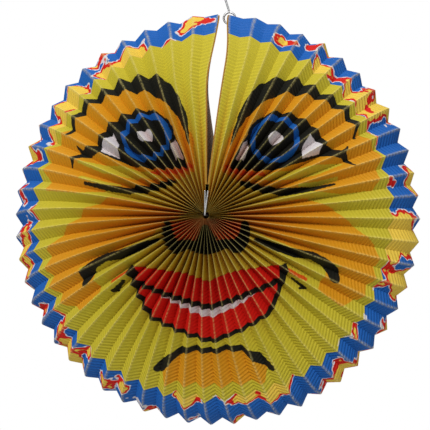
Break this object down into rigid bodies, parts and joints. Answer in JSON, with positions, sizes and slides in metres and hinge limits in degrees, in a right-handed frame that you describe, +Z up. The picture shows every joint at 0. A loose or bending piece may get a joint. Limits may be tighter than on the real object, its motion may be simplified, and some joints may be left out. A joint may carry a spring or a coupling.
{
  "type": "accordion paper lantern",
  "caption": "Round accordion lantern of crimped, pleated paper printed as a sun face, opened to a full ring between two card end boards, with a wire hanger.",
  "frame": {"origin": "middle of the hanger's eye, which the lantern hangs from", "axes": "+Z up; +X to the right of somebody who looks at the printed face; the printed face looks along -Y and the hub axis runs along Y"},
  "size_m": [0.3499, 0.1045, 0.4024],
  "materials": {
    "printed_paper": "crimped paper with a printed face, slightly waxed",
    "card": "plain brown card with rubbed edges",
    "eyelet_brass": "pressed, dull",
    "tinned_wire": "tinned wire, satin"
  },
  "bodies": {
    "hanger": {"hanger_wire": "tinned_wire"},
    "right_end": {"right_board": "card", "hanger_eyelet": "eyelet_brass", "hub_wire": "tinned_wire"},
    "fold_01": {"pleat_group_01": "printed_paper"},
    "fold_02": {"pleat_group_02": "printed_paper"},
    "fold_03": {"pleat_group_03": "printed_paper"},
    "fold_04": {"pleat_group_04": "printed_paper"},
    "fold_05": {"pleat_group_05": "printed_paper"},
    "fold_06": {"pleat_group_06": "printed_paper"},
    "fold_07": {"pleat_group_07": "printed_paper"},
    "fold_08": {"pleat_group_08": "printed_paper"},
    "fold_09": {"pleat_group_09": "printed_paper"},
    "fold_10": {"pleat_group_10": "printed_paper"},
    "fold_11": {"pleat_group_11": "printed_paper"},
    "fold_12": {"pleat_group_12": "printed_paper"},
    "fold_13": {"pleat_group_13": "printed_paper"},
    "fold_14": {"pleat_group_14": "printed_paper"},
    "fold_15": {"pleat_group_15": "printed_paper"},
    "fold_16": {"pleat_group_16": "printed_paper"},
    "fold_17": {"pleat_group_17": "printed_paper"},
    "left_end": {"pleat_group_18": "printed_paper", "left_board": "card"}
  },
  "joints": [
    {"name": "hanger_swing", "type": "hinge", "parent": "hanger", "child": "right_end", "pos_m": [0.01291, 0, -0.05351], "axis": [1, 0, 0], "range_deg": [-25, 25]},
    {"name": "fan_fold", "type": "hinge", "parent": "right_end", "child": "fold_01", "pos_m": [0, 0, -0.221], "axis": [0, -1, 0], "range_deg": [0, 18.9], "deforming": ["pleat_group_01"]},
    {"name": "fan_fold_02", "type": "hinge", "parent": "fold_01", "child": "fold_02", "pos_m": [0, 0, -0.221], "axis": [0, -1, 0], "range_deg": [0, 18.9], "deforming": ["pleat_group_02"]},
    {"name": "fan_fold_03", "type": "hinge", "parent": "fold_02", "child": "fold_03", "pos_m": [0, 0, -0.221], "axis": [0, -1, 0], "range_deg": [0, 18.9], "deforming": ["pleat_group_03"]},
    {"name": "fan_fold_04", "type": "hinge", "parent": "fold_03", "child": "fold_04", "pos_m": [0, 0, -0.221], "axis": [0, -1, 0], "range_deg": [0, 18.9], "deforming": ["pleat_group_04"]},
    {"name": "fan_fold_05", "type": "hinge", "parent": "fold_04", "child": "fold_05", "pos_m": [0, 0, -0.221], "axis": [0, -1, 0], "range_deg": [0, 18.9], "deforming": ["pleat_group_05"]},
    {"name": "fan_fold_06", "type": "hinge", "parent": "fold_05", "child": "fold_06", "pos_m": [0, 0, -0.221], "axis": [0, -1, 0], "range_deg": [0, 18.9], "deforming": ["pleat_group_06"]},
    {"name": "fan_fold_07", "type": "hinge", "parent": "fold_06", "child": "fold_07", "pos_m": [0, 0, -0.221], "axis": [0, -1, 0], "range_deg": [0, 18.9], "deforming": ["pleat_group_07"]},
    {"name": "fan_fold_08", "type": "hinge", "parent": "fold_07", "child": "fold_08", "pos_m": [0, 0, -0.221], "axis": [0, -1, 0], "range_deg": [0, 18.9], "deforming": ["pleat_group_08"]},
    {"name": "fan_fold_09", "type": "hinge", "parent": "fold_08", "child": "fold_09", "pos_m": [0, 0, -0.221], "axis": [0, -1, 0], "range_deg": [0, 18.9], "deforming": ["pleat_group_09"]},
    {"name": "fan_fold_10", "type": "hinge", "parent": "fold_09", "child": "fold_10", "pos_m": [0, 0, -0.221], "axis": [0, -1, 0], "range_deg": [0, 18.9], "deforming": ["pleat_group_10"]},
    {"name": "fan_fold_11", "type": "hinge", "parent": "fold_10", "child": "fold_11", "pos_m": [0, 0, -0.221], "axis": [0, -1, 0], "range_deg": [0, 18.9], "deforming": ["pleat_group_11"]},
    {"name": "fan_fold_12", "type": "hinge", "parent": "fold_11", "child": "fold_12", "pos_m": [0, 0, -0.221], "axis": [0, -1, 0], "range_deg": [0, 18.9], "deforming": ["pleat_group_12"]},
    {"name": "fan_fold_13", "type": "hinge", "parent": "fold_12", "child": "fold_13", "pos_m": [0, 0, -0.221], "axis": [0, -1, 0], "range_deg": [0, 18.9], "deforming": ["pleat_group_13"]},
    {"name": "fan_fold_14", "type": "hinge", "parent": "fold_13", "child": "fold_14", "pos_m": [0, 0, -0.221], "axis": [0, -1, 0], "range_deg": [0, 18.9], "deforming": ["pleat_group_14"]},
    {"name": "fan_fold_15", "type": "hinge", "parent": "fold_14", "child": "fold_15", "pos_m": [0, 0, -0.221], "axis": [0, -1, 0], "range_deg": [0, 18.9], "deforming": ["pleat_group_15"]},
    {"name": "fan_fold_16", "type": "hinge", "parent": "fold_15", "child": "fold_16", "pos_m": [0, 0, -0.221], "axis": [0, -1, 0], "range_deg": [0, 18.9], "deforming": ["pleat_group_16"]},
    {"name": "fan_fold_17", "type": "hinge", "parent": "fold_16", "child": "fold_17", "pos_m": [0, 0, -0.221], "axis": [0, -1, 0], "range_deg": [0, 18.9], "deforming": ["pleat_group_17"]},
    {"name": "fan_fold_18", "type": "hinge", "parent": "fold_17", "child": "left_end", "pos_m": [0, 0, -0.221], "axis": [0, -1, 0], "range_deg": [0, 18.9], "deforming": ["pleat_group_18"]}
  ],
  "couplings": [
    {"joint": "fan_fold_02", "follows": "fan_fold", "ratio": 1},
    {"joint": "fan_fold_03", "follows": "fan_fold", "ratio": 1},
    {"joint": "fan_fold_04", "follows": "fan_fold", "ratio": 1},
    {"joint": "fan_fold_05", "follows": "fan_fold", "ratio": 1},
    {"joint": "fan_fold_06", "follows": "fan_fold", "ratio": 1},
    {"joint": "fan_fold_07", "follows": "fan_fold", "ratio": 1},
    {"joint": "fan_fold_08", "follows": "fan_fold", "ratio": 1},
    {"joint": "fan_fold_09", "follows": "fan_fold", "ratio": 1},
    {"joint": "fan_fold_10", "follows": "fan_fold", "ratio": 1},
    {"joint": "fan_fold_11", "follows": "fan_fold", "ratio": 1},
    {"joint": "fan_fold_12", "follows": "fan_fold", "ratio": 1},
    {"joint": "fan_fold_13", "follows": "fan_fold", "ratio": 1},
    {"joint": "fan_fold_14", "follows": "fan_fold", "ratio": 1},
    {"joint": "fan_fold_15", "follows": "fan_fold", "ratio": 1},
    {"joint": "fan_fold_16", "follows": "fan_fold", "ratio": 1},
    {"joint": "fan_fold_17", "follows": "fan_fold", "ratio": 1},
    {"joint": "fan_fold_18", "follows": "fan_fold", "ratio": 1}
  ]
}
